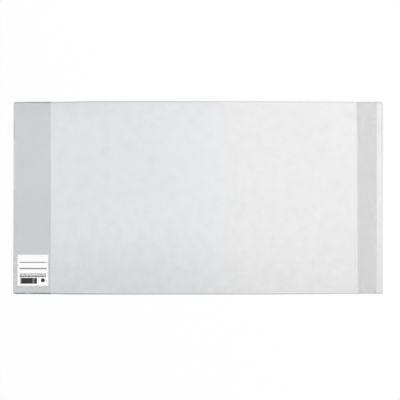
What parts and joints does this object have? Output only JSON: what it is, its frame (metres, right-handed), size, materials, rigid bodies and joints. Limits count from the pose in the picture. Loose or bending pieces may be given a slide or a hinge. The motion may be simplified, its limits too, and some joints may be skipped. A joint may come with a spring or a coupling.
{
  "type": "plastic book cover",
  "caption": "Clear plastic textbook cover laid open: a welded pocket for the front board and a strap that holds the turned-in back end.",
  "frame": {"origin": "on the surface the cover lies on, under the middle of the unfolded sheet", "axes": "+X along the cover from the pocket end to the turn-in end, +Y up the page, +Z out of the inner side, towards the book"},
  "size_m": [0.45, 0.234, 0.0006],
  "materials": {
    "clear_film": "gloss",
    "film_weld": "satin",
    "label_paper": "matte"
  },
  "bodies": {
    "back": {"back_panel": "clear_film"},
    "spine": {"spine_panel": "clear_film"},
    "front": {"front_panel": "clear_film", "pocket_fold": "clear_film", "pocket_top_weld": "film_weld", "pocket_bottom_weld": "film_weld"},
    "pocket": {"pocket_flap": "clear_film", "label": "label_paper"},
    "turn_in": {"back_flap": "clear_film", "strap_top_weld": "film_weld", "strap_bottom_weld": "film_weld"},
    "strap_band": {"strap": "clear_film"}
  },
  "joints": [
    {"name": "back_fold", "type": "hinge", "parent": "back", "child": "spine", "pos_m": [-0.03873, 0, 0.00012], "axis": [0, 1, 0], "range_deg": [0, 90]},
    {"name": "front_fold", "type": "hinge", "parent": "spine", "child": "front", "pos_m": [-0.05473, 0, 0.00012], "axis": [0, 1, 0], "range_deg": [0, 90]},
    {"name": "flap_fold", "type": "hinge", "parent": "back", "child": "turn_in", "pos_m": [0.12927, 0, 0.00162], "axis": [0, -1, 0], "range_deg": [0, 174]},
    {"name": "pocket_open", "type": "hinge", "parent": "front", "child": "pocket", "pos_m": [-0.22473, 0, 0.00054], "axis": [0, -1, 0], "range_deg": [0, 6], "stiffness_Nm_per_rad": 0.01},
    {"name": "strap_lift", "type": "slide", "parent": "turn_in", "child": "strap_band", "axis": [0, 0, 1], "range_m": [0, 0.0045], "stiffness_N_per_m": 5}
  ]
}
